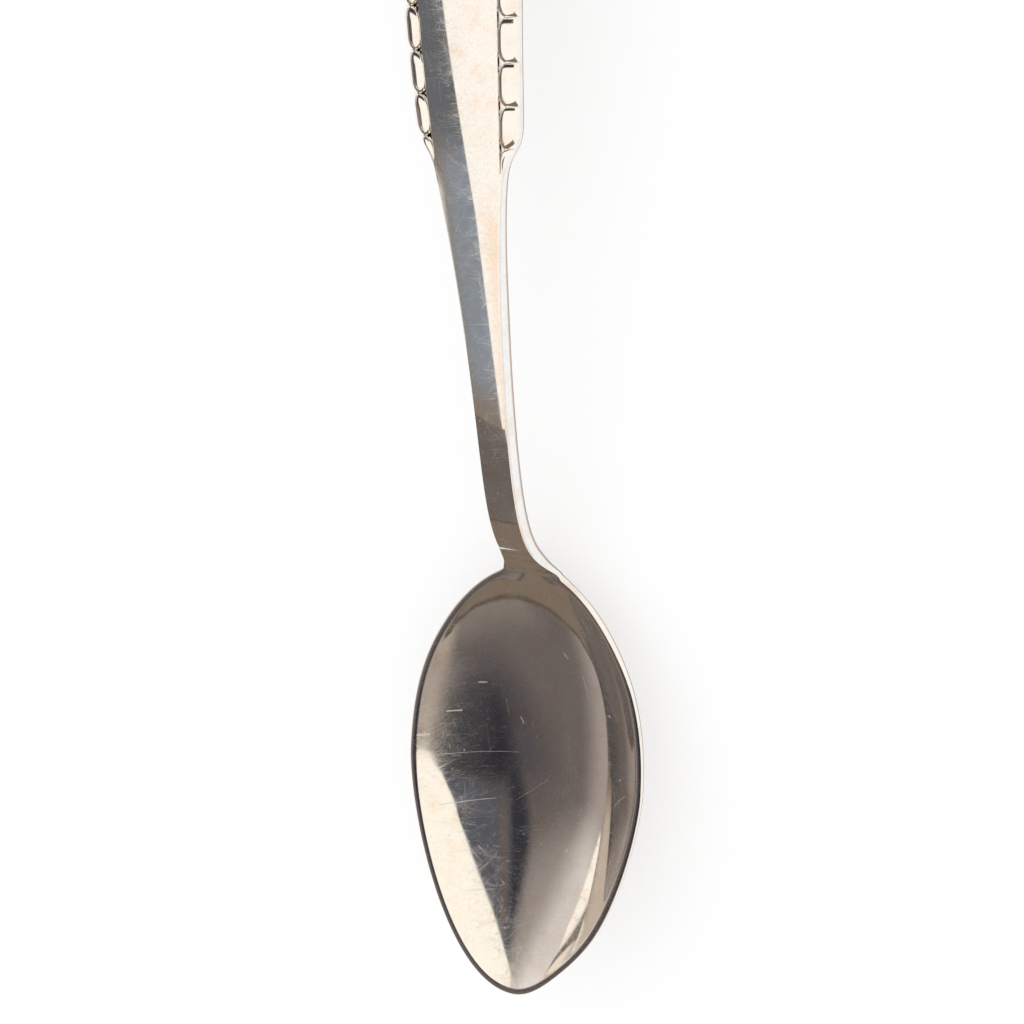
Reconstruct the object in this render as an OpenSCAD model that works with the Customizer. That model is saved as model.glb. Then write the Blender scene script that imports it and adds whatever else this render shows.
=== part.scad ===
// Teaspoon with a pointed oval bowl, a slim arched stem and a broad handle with a beaded edge.
// It lies at rest on the underside of its bowl and on the end of its handle.
// X runs across the spoon, Y from the tip of the bowl to the end of the handle, Z up.

/* [Bowl] */
// Length of the bowl from its tip to its heel
bowl_length = 47.6; // [40:0.1:56]
// Width of the bowl across its rim
bowl_width = 30; // [24:0.1:36]
// Depth of the bowl under its rim
bowl_depth = 5.6; // [4:0.1:8]
// Thickness of the bowl's floor
floor_thickness = 0.95; // [0.7:0.05:1.6]
// Width of the flat land round the rim
rim_land = 0.65; // [0.4:0.05:1.2]
// Height of the rim's outer edge
rim_height = 0.7; // [0.5:0.05:1.4]
// Angle by which the bowl's tip is raised when the spoon rests
bowl_tilt = 8; // [4:0.5:10]
// Height by which the rim curls up at the tip
tip_lift = 0.7; // [0:0.1:1.5]
// Distance from the tip over which that curl fades
tip_lift_run = 7.8; // [4:0.1:12]
// Distance from the tip over which its right side is worn back
tip_wear_run = 4; // [2:0.1:8]

/* [Stem] */
// Distance from the heel to the seam between bowl and stem
neck_seam = 3; // [2:0.1:5]
// Distance from the heel to the seam between stem and handle
handle_seam = 45; // [42:0.5:46]
// Width of the stem at its neck
neck_width = 3.75; // [3:0.05:5]
// Width that the stem gains on its way to the shoulder
stem_flare = 4; // [2:0.1:6]
// Height of the stem's side walls
stem_side = 2.1; // [1.4:0.05:2.6]
// How far the stem's back bulges below its side walls
stem_belly = 0.45; // [0.2:0.05:1]
// Height by which the neck rises from the heel
neck_rise = 5.2; // [3:0.1:8]
// Distance over which the neck rises
neck_run = 3.5; // [2:0.1:5]
// Width that the stem gains where it opens into the bowl
heel_flare = 3.4; // [1:0.1:5]
// Distance over which that widening fades up the stem
heel_flare_run = 1; // [0.6:0.1:2]

/* [Handle] */
// Length of stem and handle together, from the heel to the end
shank_length = 102.4; // [90:0.1:116]
// Width of the handle at its broadest
handle_width = 14.2; // [11:0.1:18]
// Width that the handle loses towards its shoulder
handle_taper = 2.1; // [0:0.1:4]
// Distance from the heel to the middle of the shoulder
shoulder_place = 48.8; // [48:0.1:51]
// Length of the curve in which the shoulder steps out
shoulder_run = 0.77; // [0.5:0.01:1.2]
// Height that stem and handle climb before they turn down
handle_climb = 10.3; // [6:0.1:14]
// Height of the handle's side walls
handle_side = 1.55; // [1.2:0.05:2.2]
// Thickness of the handle at its end
end_side = 1.35; // [1.2:0.05:1.8]
// How far the handle's back bulges below its side walls
handle_belly = 0.3; // [0.1:0.05:0.8]
// Radius of the crown across the front of stem and handle
face_radius = 50; // [25:1:120]

/* [Beads] */
// Number of beads along each side of the handle
side_beads = 11; // [7:1:13]
// Distance from the heel to the first groove between beads
first_groove = 49.9; // [49:0.1:53]
// Length of the tapered shoulder beads
shoulder_bead_length = 2.8; // [2:0.1:3.2]
// How much nearer to the bowl the right row of beads starts
right_row_lead = 0.7; // [0:0.1:0.8]
// Width of a bead across the handle's border
bead_width = 2.05; // [1.6:0.05:2.8]
// Height of a bead above the handle's face
bead_height = 0.3; // [0.1:0.05:0.6]
// Length of each bead as a multiple of the one before it, going up the handle
bead_growth = 1.02; // [1:0.005:1.05]
// Depth of the ledge that the beads are set in, beside the field
ledge_depth = 0.4; // [0.25:0.05:0.6]
// How much deeper the ledge lies along the handle's edge
ledge_fall = 0.35; // [0.1:0.05:0.5]
// How far a bead's outer edge rolls down towards the side wall
bead_roll = 0.6; // [0.2:0.05:0.7]
// Gap of the joint round each bead
seat_gap = 0.03; // [0.01:0.01:0.08]

/* [Hidden] */
bead_numbers = [1 : side_beads];

// Shape of the bowl's outline: where it is widest and how full its two halves are
widest_share = 0.528;
nose_power = 1.51;
nose_fullness = 0.498;
heel_power = 2.3;
heel_fullness = 0.553;
// Shape of the bowl's cross-section: two is a parabola, more is a flatter floor with steeper walls
dish_power = 2.3;
// How tightly the bowl's outline turns into the neck
neck_power = 1.86;
// Part of the right half's width that is worn off at the very tip
tip_wear_share = 0.43;
// Shape of the stem's flare and of the handle's turn down to the table
flare_power = 2.68;
flare_start_share = 0.08;
turn_power = 6;
// Part of the shank over which the handle narrows towards its shoulder
taper_end_share = 0.78;
taper_run_share = 0.3125;

overall_length = bowl_length + shank_length;
end_radius = handle_width / 2;
end_centre = overall_length - end_radius;
flare_start = flare_start_share * shank_length;
flare_run = handle_seam - flare_start;
taper_end = taper_end_share * shank_length;
taper_run = taper_run_share * shank_length;

// Stretches beside the heel over which the bowl's edge and crown turn into those of the stem
heel_blend = 8;
wall_blend = 1.6;
neck_lead = 0.25;
neck_ease = 1;
crown_blend = 8;
side_blend = 16;
// Smallest step and strip, which keep every face of the solids open
least_step = 0.01;
least_strip = 0.05;
tip_start = 0.01;
// How much closer together the stem's rings stand at the neck, where it bends most
ring_crowding = 1.5;

bowl_steps = 22;
heel_steps = 14;
cross_steps = 16;
stem_steps = 26;
stem_cross_steps = 8;
shoulder_steps = 14;
panel_steps = 24;
end_steps = 10;
field_steps = 6;
bead_steps = 10;
bead_cross_steps = 6;

function clamp_share(v) = max(0, min(1, v));

function smooth(v) =
    let (c = clamp_share(v))
    c * c * (3 - 2 * c);

function mix(a, b, share) = a + (b - a) * share;

// Half width of the bowl alone, at a distance from its tip
function bowl_half(y) =
    let (t = y / bowl_length)
    t <= 0 || t >= 1 ? 0
    : t < widest_share
        ? bowl_width / 2 * pow(1 - pow(1 - t / widest_share, nose_power), nose_fullness)
        : bowl_width / 2 * pow(1 - pow((t - widest_share) / (1 - widest_share), heel_power), heel_fullness);

function eased(v) = v <= 0 ? 0 : v * v / (v + neck_ease);

// Half widths of stem and handle, at a distance from the heel
function stem_half(s) =
    let (
        heel = heel_flare * exp(-eased(s) / heel_flare_run),
        shoulder = stem_flare * pow(max(0, s - flare_start) / flare_run, flare_power)
    )
    (neck_width + heel + shoulder) / 2;

function panel_half(s) =
    (handle_width - handle_taper * pow(max(0, taper_end - s) / taper_run, 2)) / 2;

function shank_half(s) =
    mix(stem_half(s), panel_half(s), 1 / (1 + exp(-(s - shoulder_place) / shoulder_run)));

// Half width of the whole spoon, at a distance from the bowl's tip
function half_width(y) =
    y > end_centre
        ? sqrt(max(0, pow(end_radius, 2) - pow(y - end_centre, 2)))
        : let (
            b = bowl_half(y),
            s = shank_half(y - bowl_length) * clamp_share((y - bowl_length + heel_blend) / heel_blend)
        )
        y < bowl_length - heel_blend ? b : pow(pow(b, neck_power) + pow(s, neck_power), 1 / neck_power);

// Half width inside the rim's land
function inner_half(y) =
    let (w = half_width(y))
    max(w - rim_land, w / 2);

// Depth of the bowl along its middle, which follows the square of its width
function dish(y) = bowl_depth * pow(bowl_half(y) / (bowl_width / 2), 2);

// Height that the rim gains towards the tip
function curl(y) = tip_lift * exp(-max(0, y) / tip_lift_run);

// The bowl's lowest point touches the table, and that sets the height of its tip
probe_steps = 60;
tip_height = max([
    for (i = [0 : probe_steps])
        let (y = bowl_length * i / probe_steps)
        y * tan(bowl_tilt) - curl(y) + dish(y) + floor_thickness
]);
heel_height = tip_height - bowl_length * tan(bowl_tilt);
end_drop = heel_height + neck_rise + handle_climb - end_side;

// Height of rim, stem and handle along the middle of the spoon
function spine(y) =
    let (
        share = max(0, y - bowl_length) / shank_length,
        rise = neck_rise * (1 - exp(-eased(y - bowl_length + neck_lead) / neck_run))
    )
    tip_height - min(y, bowl_length) * tan(bowl_tilt) + curl(y) + rise
        + handle_climb * share - end_drop * pow(share, turn_power);

// Height of the spoon's upper face
function face(x, y) =
    spine(y) - dish(y) * (1 - pow(min(1, abs(x) / inner_half(y)), dish_power))
        - x * x / (2 * face_radius) * smooth((y - bowl_length) / crown_blend);

function side_wall(y) =
    let (
        s = y - bowl_length,
        neck_share = smooth((s + wall_blend) / (wall_blend + neck_seam)),
        handle_share = smooth((s - handle_seam + side_blend) / side_blend),
        end_share = smooth((s - taper_end) / (shank_length - taper_end))
    )
    mix(mix(mix(rim_height, stem_side, neck_share), handle_side, handle_share), end_side, end_share);

function belly(y) =
    let (
        s = y - bowl_length,
        neck_share = smooth((s + heel_blend) / (heel_blend + neck_seam)),
        handle_share = smooth((s - handle_seam + side_blend) / side_blend),
        plain = mix(mix(floor_thickness - rim_height, stem_belly, neck_share), handle_belly, handle_share)
    )
    dish(y) + plain * (y > end_centre ? pow(half_width(y) / end_radius, 2) : 1);

// Height of the spoon's underside
function back(x, y) =
    face(half_width(y), y) - side_wall(y)
        - belly(y) * (1 - pow(abs(x) / half_width(y), dish_power));

// Half width of the handle's field inside the border that carries the beads
function field_half(y) =
    y > end_centre
        ? sqrt(max(0, pow(end_radius - bead_width, 2) - pow(y - end_centre, 2)))
        : min(panel_half(y - bowl_length) - bead_width, half_width(y) - least_strip);

// Depth of the ledge under the face, by the share of the way across it from the field
function ledge(y, across) =
    let (opened = smooth((half_width(y) - field_half(y) - least_strip) / (bead_width / 2)))
    least_step + (ledge_depth - least_step + ledge_fall * across) * opened;

// Skin stretched over rings of points, each of which runs clockwise seen from the tip
module loft(rings) {
    n = len(rings);
    m = len(rings[0]);
    polyhedron(
        points = [for (ring = rings) each ring],
        faces = concat(
            [[for (j = [0 : m - 1]) j]],
            [
                for (i = [0 : n - 2], j = [0 : m - 1])
                    let (k = (j + 1) % m)
                    each [
                        [i * m + j, (i + 1) * m + j, (i + 1) * m + k],
                        [i * m + j, (i + 1) * m + k, i * m + k]
                    ]
            ],
            [[for (j = [m - 1 : -1 : 0]) (n - 1) * m + j]]
        ),
        convexity = 6
    );
}

// Places across a section as shares of its half width, closer together towards the edges
function cross_shares(steps) = [for (j = [0 : steps]) sin(90 * (2 * j / steps - 1))];

function back_point(y, share) =
    let (x = share * half_width(y))
    [x, y, back(x, y)];

// Underside of a section, from its middle to its left edge or from its right edge to its middle
function back_left(y, shares) =
    [for (j = [floor(len(shares) / 2) : -1 : 0]) back_point(y, shares[j])];

function back_right(y, shares) =
    [for (j = [len(shares) - 1 : -1 : floor(len(shares) / 2) + 1]) back_point(y, shares[j])];

// The tip's right side stands back, as wear has left it
function worn(p) =
    let (kept = 1 - tip_wear_share * exp(-pow(p[1] / tip_wear_run, 2)))
    [p[0] > 0 ? p[0] * kept : p[0], p[1], p[2]];

// Ring of a section with a dished top and a land on each side
function bowl_ring(y) =
    let (
        w = half_width(y),
        shares = cross_shares(cross_steps),
        ring = concat(
            back_left(y, shares),
            [[-w, y, face(w, y)]],
            [for (share = shares) [share * inner_half(y), y, face(share * inner_half(y), y)]],
            [[w, y, face(w, y)]],
            back_right(y, shares)
        )
    )
    [for (p = ring) worn(p)];

// Ring of a section with a crowned top and plain side walls
function stem_ring(y) =
    let (w = half_width(y), shares = cross_shares(stem_cross_steps))
    concat(
        back_left(y, shares),
        [for (share = shares) [share * w, y, face(share * w, y)]],
        back_right(y, shares)
    );

function ledge_point(y, x, across) = [x, y, face(x, y) - ledge(y, across)];

// Ring of a section with a raised field between two ledges
function handle_ring(y, raised) =
    let (
        w = half_width(y),
        f = max(field_half(y), least_strip),
        shares = cross_shares(stem_cross_steps),
        step = raised ? 0 : ledge(y, 0) - least_step
    )
    concat(
        back_left(y, shares),
        [for (across = [1, 1 / 2, 0]) ledge_point(y, -mix(f, w, across), across)],
        [for (j = [0 : field_steps]) let (x = f * (2 * j / field_steps - 1)) [x, y, face(x, y) - step]],
        [for (across = [0, 1 / 2, 1]) ledge_point(y, mix(f, w, across), across)],
        back_right(y, shares)
    );

// The spoon is drawn from its tip and then centred over the origin
module centred() {
    translate([0, -overall_length / 2, 0]) children();
}

module bowl() {
    nose_end = bowl_length - heel_blend;
    seam = bowl_length + neck_seam;
    nose = [for (i = [0 : bowl_steps - 1]) mix(nose_end, tip_start, cos(90 * i / bowl_steps))];
    heel = [for (i = [0 : heel_steps]) mix(nose_end, seam, i / heel_steps)];
    color("silver") centred() loft([for (y = concat(nose, heel)) bowl_ring(y)]);
}

module stem() {
    lower = bowl_length + neck_seam;
    upper = bowl_length + handle_seam;
    color("gainsboro") centred()
        loft([for (i = [0 : stem_steps]) stem_ring(mix(lower, upper, pow(i / stem_steps, ring_crowding)))]);
}

module handle() {
    lower = bowl_length + handle_seam;
    shoulder_end = lower + 2 * (bowl_length + shoulder_place - lower);
    field_end = end_centre + end_radius - bead_width;
    shoulder = [for (i = [0 : shoulder_steps - 1]) mix(lower, shoulder_end, i / shoulder_steps)];
    panel = [for (i = [0 : panel_steps - 1]) mix(shoulder_end, end_centre, i / panel_steps)];
    field_arc = [for (i = [0 : end_steps - 1]) mix(end_centre, field_end, sin(90 * i / end_steps))];
    border_arc = [
        for (i = [1 : end_steps]) mix(field_end, overall_length - tip_start, sin(90 * i / end_steps))
    ];
    color("silver") centred() loft(concat(
        [for (y = concat(shoulder, panel, field_arc)) handle_ring(y, true)],
        [for (y = concat([field_end], border_arc)) handle_ring(y, false)]
    ));
}

// Length of the border from the first groove round to the middle of the handle's end
border_side = end_centre - bowl_length - first_groove;
border_length = border_side + end_radius * PI / 2;

// The border holds the side beads and half of the bead in the middle of the end
border_beads = side_beads + 1 / 2;

// Place of a groove along the border, when each bead is longer than the one before it
function groove(i, lead) =
    let (
        share = bead_growth == 1
            ? i / border_beads
            : (pow(bead_growth, i) - 1) / (pow(bead_growth, border_beads) - 1)
    )
    mix(-lead, border_length, share);

// Point on the border, by the distance along it and the share of the way across it from the field
function border_point(e, share) =
    e <= border_side
        ? let (
            y = bowl_length + first_groove + e,
            inner = min(field_half(y) + seat_gap, half_width(y) - least_strip)
        )
        [mix(inner, half_width(y), share), y]
        : let (
            angle = (e - border_side) / end_radius * 180 / PI,
            r = mix(end_radius - bead_width + seat_gap, end_radius, share)
        )
        [r * cos(angle), end_centre + r * sin(angle)];

// Shape of a bead: how square its ends are, where it crests and how far its inner corners are cut
end_power = 8;
side_power = 2;
roll_power = 1.8;
crest_share = 0.36;
corner_share = 0.25;

// Height of a bead as a share of its full height, along and across it
function dome(along, across) =
    let (
        ends = pow(abs(2 * along - 1), end_power),
        foot = corner_share * ends,
        side = max(0, crest_share - across) / (crest_share - foot)
    )
    side >= 1 || ends >= 1 ? 0 : sqrt((1 - ends) * (1 - pow(side, side_power)));

// How far a bead has rolled down towards the side wall, as a share of its full roll
function rolled(across) = pow(max(0, across - crest_share) / (1 - crest_share), roll_power);

// Height of a tapered bead, the upper half of a plain one that fades out at its foot
function tapered_dome(along, across) = dome((1 + along) / 2, across) * smooth(along);

// Ring across a bead at a distance along the border
function bead_ring(e, along, tapered) =
    let (
        inner = border_point(e, 0),
        outer = border_point(e, 1),
        inner_seat = min(ledge(inner[1], 0), ledge(outer[1], 0)) - seat_gap,
        outer_seat = min(ledge(inner[1], 1), ledge(outer[1], 1)) - seat_gap,
        roll = min(bead_roll, outer_seat - least_strip)
    )
    concat(
        [[inner[0], inner[1], face(inner[0], inner[1]) - inner_seat]],
        [
            for (j = [0 : bead_cross_steps])
                let (
                    across = j / bead_cross_steps,
                    p = border_point(e, across),
                    lift = tapered ? tapered_dome(along, across) : dome(along, across)
                )
                [p[0], p[1], face(p[0], p[1]) + bead_height * lift - roll * rolled(across)]
        ],
        [[outer[0], outer[1], face(outer[0], outer[1]) - outer_seat]]
    );

module bead(low, high, tapered = false) {
    color("whitesmoke") centred() loft([
        for (i = [0 : bead_steps])
            let (along = tapered ? i / bead_steps : (1 - cos(180 * i / bead_steps)) / 2)
            bead_ring(mix(low + seat_gap / 2, high - seat_gap / 2, along), along, tapered)
    ]);
}

// Beads of a row that starts nearer to the bowl by its lead
module row_bead(i, lead) {
    bead(groove(i - 1, lead), groove(i, lead));
}

module shoulder_bead(lead) {
    bead(-shoulder_bead_length - lead, -lead, tapered = true);
}

module right_bead(i) {
    row_bead(i, right_row_lead);
}

module left_bead(i) {
    mirror([1, 0, 0]) row_bead(i, 0);
}

module right_shoulder_bead() {
    shoulder_bead(right_row_lead);
}

module left_shoulder_bead() {
    mirror([1, 0, 0]) shoulder_bead(0);
}

module end_bead() {
    bead(groove(side_beads, right_row_lead), 2 * border_length - groove(side_beads, 0));
}

bowl();
stem();
handle();
left_shoulder_bead();
right_shoulder_bead();
end_bead();
for (i = bead_numbers) {
    left_bead(i);
    right_bead(i);
}
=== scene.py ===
import logging
import math
from collections.abc import Callable
from dataclasses import dataclass, field, replace
from enum import Enum

import bmesh
import bpy
import numpy as np
from mathutils import Matrix, Vector


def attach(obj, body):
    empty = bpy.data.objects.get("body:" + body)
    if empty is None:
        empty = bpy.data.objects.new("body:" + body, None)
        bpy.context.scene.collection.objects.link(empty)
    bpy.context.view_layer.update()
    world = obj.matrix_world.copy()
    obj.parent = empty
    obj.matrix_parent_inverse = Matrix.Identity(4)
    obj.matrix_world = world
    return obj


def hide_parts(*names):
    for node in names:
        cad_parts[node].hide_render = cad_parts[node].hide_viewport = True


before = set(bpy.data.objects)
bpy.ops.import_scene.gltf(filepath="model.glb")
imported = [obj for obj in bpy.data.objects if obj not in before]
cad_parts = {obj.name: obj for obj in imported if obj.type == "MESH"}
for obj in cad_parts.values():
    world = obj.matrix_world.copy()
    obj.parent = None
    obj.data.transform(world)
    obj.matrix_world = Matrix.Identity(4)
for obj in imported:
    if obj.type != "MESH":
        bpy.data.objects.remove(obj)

LOG = logging.getLogger("teaspoon")
MM = 0.001
ROOT = "root"
# Blender numbers the sockets of its colour mixing node like this.
MIX_SHARE, MIX_FIRST, MIX_SECOND, MIX_RESULT = 0, 6, 7, 2
Colour = tuple[float, float, float]
Place = tuple[float, float, float]
Spot = tuple[float, float]


def smooth(v: np.ndarray) -> np.ndarray:
    """Eases a share from 0 to 1 with level ends."""
    c = np.clip(v, 0, 1)
    return c * c * (3 - 2 * c)


def mix(a: np.ndarray, b: np.ndarray, share: np.ndarray) -> np.ndarray:
    """Goes from a to b by a share."""
    return a + (b - a) * share


def eased(v: np.ndarray, ease: float) -> np.ndarray:
    """Lets a distance start from zero with a level slope."""
    c = np.maximum(v, 0)
    return c * c / (c + ease)


@dataclass(frozen=True)
class BowlShape:
    """Sizes of the bowl in millimetres, with the powers and shares that give its outline."""

    length: float = 47.6
    width: float = 30.0
    depth: float = 5.6
    floor: float = 0.95
    land: float = 0.65
    rim: float = 0.7
    tilt: float = 8.0
    lift: float = 0.7
    lift_run: float = 7.8
    wear_run: float = 5.0
    wear_share: float = 0.18
    widest_share: float = 0.528
    nose_power: float = 1.51
    nose_fullness: float = 0.498
    heel_power: float = 2.3
    heel_fullness: float = 0.553
    dish_power: float = 2.3

    def half(self, y: np.ndarray) -> np.ndarray:
        """Finds the half width of the bowl alone.

        Args:
            y: distance from its tip.

        Returns:
            The half width.
        """
        t = np.clip(y / self.length, 0, 1)
        nose = 1 - np.clip(1 - t / self.widest_share, 0, 1) ** self.nose_power
        heel = 1 - np.clip((t - self.widest_share) / (1 - self.widest_share), 0, 1) ** self.heel_power
        full = np.where(t < self.widest_share, nose**self.nose_fullness, heel**self.heel_fullness)
        return self.width / 2 * full

    def dish(self, y: np.ndarray) -> np.ndarray:
        """Depth of the bowl along its middle."""
        return self.depth * (self.half(y) / (self.width / 2)) ** 2

    def curl(self, y: np.ndarray) -> np.ndarray:
        """Height that the rim gains towards the tip."""
        return self.lift * np.exp(-np.maximum(0, y) / self.lift_run)


@dataclass(frozen=True)
class ShankShape:
    """Sizes of stem and handle in millimetres, measured from the bowl's heel."""

    length: float = 102.4
    neck_seam: float = 3.0
    handle_seam: float = 45.0
    neck_width: float = 3.75
    heel_flare: float = 3.4
    heel_flare_run: float = 1.0
    neck_ease: float = 1.0
    flare: float = 4.0
    flare_power: float = 2.68
    flare_start_share: float = 0.08
    stem_side: float = 2.1
    stem_belly: float = 0.45
    rise: float = 5.2
    rise_run: float = 3.5
    handle_width: float = 14.2
    taper: float = 2.1
    taper_end_share: float = 0.78
    taper_run_share: float = 0.3125
    shoulder: float = 48.8
    shoulder_run: float = 0.77
    climb: float = 10.3
    turn_power: float = 6.0
    handle_side: float = 1.55
    end_side: float = 1.35
    handle_belly: float = 0.3
    crown: float = 50.0
    step_limit: float = 60.0

    def stem_half(self, s: np.ndarray) -> np.ndarray:
        """Finds the half width of the stem.

        Args:
            s: distance from the bowl's heel.

        Returns:
            The half width.
        """
        heel = self.heel_flare * np.exp(-eased(s, self.neck_ease) / self.heel_flare_run)
        start = self.flare_start_share * self.length
        run = np.maximum(0, s - start) / (self.handle_seam - start)
        return (self.neck_width + heel + self.flare * run**self.flare_power) / 2

    def panel_half(self, s: np.ndarray) -> np.ndarray:
        """Half width of the handle."""
        gone = np.maximum(0, self.taper_end_share * self.length - s) / (self.taper_run_share * self.length)
        return (self.handle_width - self.taper * gone**2) / 2

    def half(self, s: np.ndarray) -> np.ndarray:
        """Half width of stem and handle with the shoulder between them."""
        run = np.clip((s - self.shoulder) / self.shoulder_run, -self.step_limit, self.step_limit)
        return mix(self.stem_half(s), self.panel_half(s), 1 / (1 + np.exp(-run)))


@dataclass(frozen=True)
class BeadShape:
    """Sizes of the beads and of the ledge that carries them, in millimetres."""

    count: int = 11
    first_groove: float = 49.9
    shoulder_length: float = 2.8
    right_lead: float = 0.7
    width: float = 2.05
    height: float = 0.44
    growth: float = 1.02
    ledge: float = 0.4
    ledge_fall: float = 0.35
    roll: float = 0.62
    roll_power: float = 1.8
    gap: float = 0.03
    least_step: float = 0.01
    least_strip: float = 0.05
    crest_share: float = 0.46
    flat_share: float = 0.18
    dome: float = 0.04
    foot_angle: float = 60.0
    end_round: float = 1.5
    edge_round: float = 0.06
    edge_round_share: float = 0.25
    edge_share: float = 0.03
    body_power: float = 1.4


@dataclass(frozen=True)
class SpoonForm:
    """The whole spoon's form in millimetres, with y measured from the tip and z from the table."""

    bowl: BowlShape = field(default_factory=BowlShape)
    shank: ShankShape = field(default_factory=ShankShape)
    bead: BeadShape = field(default_factory=BeadShape)
    neck_power: float = 1.86
    heel_blend: float = 8.0
    wall_blend: float = 1.6
    neck_lead: float = 0.25
    crown_blend: float = 8.0
    side_blend: float = 16.0
    probes: int = 61
    least_width: float = 1e-6

    @property
    def length(self) -> float:
        """Overall length."""
        return self.bowl.length + self.shank.length

    @property
    def end_radius(self) -> float:
        """Radius of the handle's rounded end."""
        return self.shank.handle_width / 2

    @property
    def end_centre(self) -> float:
        """Place of the centre of the rounded end."""
        return self.length - self.end_radius

    @property
    def slope(self) -> float:
        """Fall of the rim for each millimetre from the tip."""
        return math.tan(math.radians(self.bowl.tilt))

    @property
    def tip_height(self) -> float:
        """Height of the rim plane at the tip.

        Returns:
            The height that lets the bowl's lowest point touch the table.
        """
        b = self.bowl
        y = np.linspace(0, b.length, self.probes)
        return float(np.max(y * self.slope - b.curl(y) + b.dish(y) + b.floor))

    def half_width(self, y: np.ndarray) -> np.ndarray:
        """Finds the half width of the whole spoon.

        Args:
            y: distance from its tip.

        Returns:
            The half width.
        """
        b = self.bowl.half(y)
        s = self.shank.half(y - self.bowl.length)
        s = s * np.clip((y - self.bowl.length + self.heel_blend) / self.heel_blend, 0, 1)
        both = (b**self.neck_power + s**self.neck_power) ** (1 / self.neck_power)
        body = np.where(y < self.bowl.length - self.heel_blend, b, both)
        end = np.sqrt(np.maximum(0, self.end_radius**2 - (y - self.end_centre) ** 2))
        return np.where(y > self.end_centre, end, body)

    def spine(self, y: np.ndarray) -> np.ndarray:
        """Finds the height of rim, stem and handle along the middle.

        Args:
            y: distance from the tip.

        Returns:
            The height above the table.
        """
        k = self.shank
        heel = self.tip_height - self.bowl.length * self.slope
        drop = heel + k.rise + k.climb - k.end_side
        share = np.maximum(0, y - self.bowl.length) / k.length
        run = eased(y - self.bowl.length + self.neck_lead, k.neck_ease)
        rise = k.rise * (1 - np.exp(-run / k.rise_run))
        rim = self.tip_height - np.minimum(y, self.bowl.length) * self.slope + self.bowl.curl(y)
        return rim + rise + k.climb * share - drop * share**k.turn_power

    def crowned(self, x: np.ndarray, y: np.ndarray) -> np.ndarray:
        """Height of the rim plane, or of the crowned face of stem and handle."""
        start = smooth((y - self.bowl.length) / self.crown_blend)
        return self.spine(y) - x * x / (2 * self.shank.crown) * start

    def shares(self, y: np.ndarray, lead: float) -> tuple[np.ndarray, np.ndarray]:
        """Says how far a section has turned from the bowl's form into the next ones.

        Args:
            y: distance from the tip.
            lead: how far before the bowl's heel the turn into the stem begins.

        Returns:
            The share of the stem's form and the share of the handle's.
        """
        s = y - self.bowl.length
        neck = smooth((s + lead) / (lead + self.shank.neck_seam))
        return neck, smooth((s - self.shank.handle_seam + self.side_blend) / self.side_blend)

    def side_wall(self, y: np.ndarray) -> np.ndarray:
        """Finds the height of the side walls.

        Args:
            y: distance from the tip.

        Returns:
            The height of the walls alone.
        """
        k = self.shank
        neck, handle = self.shares(y, self.wall_blend)
        start = k.taper_end_share * k.length
        end = smooth((y - self.bowl.length - start) / (k.length - start))
        return mix(mix(mix(self.bowl.rim, k.stem_side, neck), k.handle_side, handle), k.end_side, end)

    def belly(self, y: np.ndarray) -> np.ndarray:
        """Finds how far the underside hangs below the foot of the side walls.

        Args:
            y: distance from the tip.

        Returns:
            The depth along the middle.
        """
        neck, handle = self.shares(y, self.heel_blend)
        skin = (self.bowl.floor - self.bowl.rim) * smooth(y / self.heel_blend)
        plain = mix(mix(skin, self.shank.stem_belly, neck), self.shank.handle_belly, handle)
        round_end = np.where(y > self.end_centre, (self.half_width(y) / self.end_radius) ** 2, 1)
        return self.bowl.dish(y) + plain * round_end

    def back(self, x: np.ndarray, y: np.ndarray) -> np.ndarray:
        """Finds the height of the underside.

        Args:
            x: distance from the middle line.
            y: distance from the tip.

        Returns:
            The height above the table.
        """
        w = np.maximum(self.half_width(y), self.least_width)
        across = 1 - np.minimum(1, np.abs(x) / w) ** self.bowl.dish_power
        return self.crowned(w, y) - self.side_wall(y) - self.belly(y) * across

    def worn(self, points: np.ndarray) -> np.ndarray:
        """Sets the tip's right side back, as wear has left it.

        Args:
            points: points of the unworn form.

        Returns:
            The moved points.
        """
        b = self.bowl
        kept = 1 - b.wear_share * np.exp(-((points[..., 1] / b.wear_run) ** 2))
        moved = points.copy()
        moved[..., 0] = np.where(points[..., 0] > 0, points[..., 0] * kept, points[..., 0])
        return moved

    def field_half(self, y: np.ndarray) -> np.ndarray:
        """Finds the half width of the handle's field, inside the border that carries the beads.

        Args:
            y: distance from the tip.

        Returns:
            The half width.
        """
        inside = self.shank.panel_half(y - self.bowl.length) - self.bead.width
        side = np.minimum(inside, self.half_width(y) - self.bead.least_strip)
        end = np.sqrt(np.maximum(0, (self.end_radius - self.bead.width) ** 2 - (y - self.end_centre) ** 2))
        return np.where(y > self.end_centre, end, side)

    def opened(self, y: np.ndarray) -> np.ndarray:
        """Says how far the ledge for the beads has opened.

        Args:
            y: distance from the tip.

        Returns:
            The share of its full depth.
        """
        k = self.bead
        strip = self.half_width(y) - self.field_half(y) - k.least_strip
        open_share = np.where(y > self.end_centre, 1, smooth(strip / (k.width / 2)))
        return np.where(y > self.bowl.length + self.shank.handle_seam, open_share, 0)

    def ledge(self, y: np.ndarray, across: np.ndarray) -> np.ndarray:
        """Depth of the ledge under the face, by the share of the way across it from the field."""
        k = self.bead
        return k.least_step + (k.ledge - k.least_step + k.ledge_fall * across) * self.opened(y)


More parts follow.
